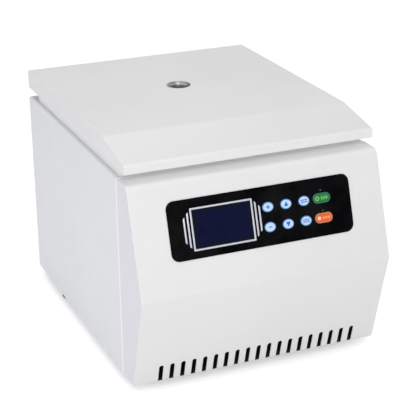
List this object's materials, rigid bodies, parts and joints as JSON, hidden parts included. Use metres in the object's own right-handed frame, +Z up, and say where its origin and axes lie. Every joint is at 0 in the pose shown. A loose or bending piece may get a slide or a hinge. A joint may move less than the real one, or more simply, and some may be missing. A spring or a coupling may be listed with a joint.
{
  "type": "laboratory centrifuge",
  "caption": "Bench-top laboratory centrifuge in white sheet metal with a hinged lid, sight glass, slanted control panel, air slots and an angled tube rotor.",
  "frame": {"origin": "centre of the bounding box, on the surface the feet stand on", "axes": "+Z up, -Y to the front with the control panel, +X to the right of a person at the front"},
  "size_m": [0.38, 0.5108, 0.3563],
  "materials": {
    "white_coat": "satin white powder coat",
    "lid_coat": "satin white powder coat",
    "zinc": "zinc plated sheet",
    "stainless": "spun stainless steel",
    "armour": "dark primed steel",
    "cast_aluminium": "fine cast",
    "anodised": "turned and anodised",
    "steel_shaft": "ground",
    "rubber_black": "matt",
    "panel_black": "gloss",
    "screen": "glass-like",
    "silver_print": "silver",
    "key_blue": "satin",
    "key_green": "satin",
    "key_orange": "satin",
    "circuit_green": "solder mask",
    "ribbon_grey": "flat cable",
    "copper": "windings",
    "black_plastic": "fine texture",
    "core_steel": "laminated",
    "rocker_red": "gloss",
    "pin_brass": "plated",
    "clear_glass": "clear",
    "ring_chrome": "bright",
    "screw_steel": "nickel plated",
    "knob_black": "moulded"
  },
  "bodies": {
    "casing": {"base_pan": "zinc", "front_shell": "white_coat", "left_side_panel": "white_coat", "right_side_panel": "white_coat", "rear_panel": "white_coat", "top_deck": "white_coat", "chamber_bowl": "stainless", "guard_ring": "armour", "chamber_gasket": "rubber_black", "motor_plate": "zinc", "vibration_mounts": "rubber_black", "motor_housing": "cast_aluminium", "motor_end_bells": "cast_aluminium", "stator": "copper", "shaft_bearings": "steel_shaft", "shaft_boot": "rubber_black", "control_panel": "panel_black", "lcd_trim": "silver_print", "lcd_screen": "screen", "lcd_module": "zinc", "keypad_board": "circuit_green", "control_board": "circuit_green", "ribbon_cable": "ribbon_grey", "drive_board": "circuit_green", "transformer": "core_steel", "power_inlet": "black_plastic", "inlet_pins": "pin_brass", "fuse_drawer": "black_plastic", "switch_bezel": "black_plastic", "fan_frame": "black_plastic", "fan_guard": "ring_chrome", "lock_housing": "zinc", "lock_solenoid": "black_plastic", "hinge_brackets": "zinc", "hinge_pins": "steel_shaft", "rubber_feet": "rubber_black", "casing_screws": "screw_steel"},
    "lid": {"lid_shell": "lid_coat", "lid_liner": "lid_coat", "sight_glass": "clear_glass", "sight_ring": "ring_chrome", "lid_striker": "zinc", "lid_hinge_leaves": "zinc", "lid_screws": "screw_steel"},
    "rotor": {"motor_shaft": "steel_shaft", "armature": "core_steel", "rotor_head": "anodised", "rotor_nut": "knob_black"},
    "fan": {"fan_impeller": "black_plastic"},
    "bolt": {"lock_bolt": "steel_shaft"},
    "rocker": {"power_rocker": "rocker_red"},
    "button_plus": {"key_plus": "key_blue"},
    "button_minus": {"key_minus": "key_blue"},
    "button_up": {"key_up": "key_blue"},
    "button_down": {"key_down": "key_blue"},
    "button_mode": {"key_mode": "key_blue"},
    "button_set": {"key_set": "key_blue"},
    "button_start": {"key_start": "key_green"},
    "button_stop": {"key_stop": "key_orange"}
  },
  "joints": [
    {"name": "lid_hinge", "type": "hinge", "parent": "casing", "child": "lid", "pos_m": [0, 0.24324, 0.321], "axis": [-1, 0, 0], "range_deg": [0, 80]},
    {"name": "rotor_spin", "type": "hinge", "parent": "casing", "child": "rotor", "pos_m": [0, 0.07454, 0.216], "axis": [0, 0, 1], "continuous": true},
    {"name": "fan_spin", "type": "hinge", "parent": "casing", "child": "fan", "pos_m": [-0.12, 0.23674, 0.091], "axis": [0, 1, 0], "continuous": true},
    {"name": "lock_slide", "type": "slide", "parent": "casing", "child": "bolt", "axis": [0, -1, 0], "range_m": [0, 0.012], "stiffness_N_per_m": 80, "springref_m": -0.01},
    {"name": "power_rock", "type": "hinge", "parent": "casing", "child": "rocker", "pos_m": [0.06, 0.24824, 0.061], "axis": [1, 0, 0], "range_deg": [0, 16]},
    {"name": "press_plus", "type": "slide", "parent": "casing", "child": "button_plus", "axis": [0, 0.9535, -0.3013], "range_m": [0, 0.0006], "stiffness_N_per_m": 2000, "springref_m": -0.0005},
    {"name": "press_minus", "type": "slide", "parent": "casing", "child": "button_minus", "axis": [0, 0.9535, -0.3013], "range_m": [0, 0.0006], "stiffness_N_per_m": 2000, "springref_m": -0.0005},
    {"name": "press_up", "type": "slide", "parent": "casing", "child": "button_up", "axis": [0, 0.9535, -0.3013], "range_m": [0, 0.0006], "stiffness_N_per_m": 2000, "springref_m": -0.0005},
    {"name": "press_down", "type": "slide", "parent": "casing", "child": "button_down", "axis": [0, 0.9535, -0.3013], "range_m": [0, 0.0006], "stiffness_N_per_m": 2000, "springref_m": -0.0005},
    {"name": "press_mode", "type": "slide", "parent": "casing", "child": "button_mode", "axis": [0, 0.9535, -0.3013], "range_m": [0, 0.0006], "stiffness_N_per_m": 2000, "springref_m": -0.0005},
    {"name": "press_set", "type": "slide", "parent": "casing", "child": "button_set", "axis": [0, 0.9535, -0.3013], "range_m": [0, 0.0006], "stiffness_N_per_m": 2000, "springref_m": -0.0005},
    {"name": "press_start", "type": "slide", "parent": "casing", "child": "button_start", "axis": [0, 0.9535, -0.3013], "range_m": [0, 0.0006], "stiffness_N_per_m": 2000, "springref_m": -0.0005},
    {"name": "press_stop", "type": "slide", "parent": "casing", "child": "button_stop", "axis": [0, 0.9535, -0.3013], "range_m": [0, 0.0006], "stiffness_N_per_m": 2000, "springref_m": -0.0005}
  ]
}
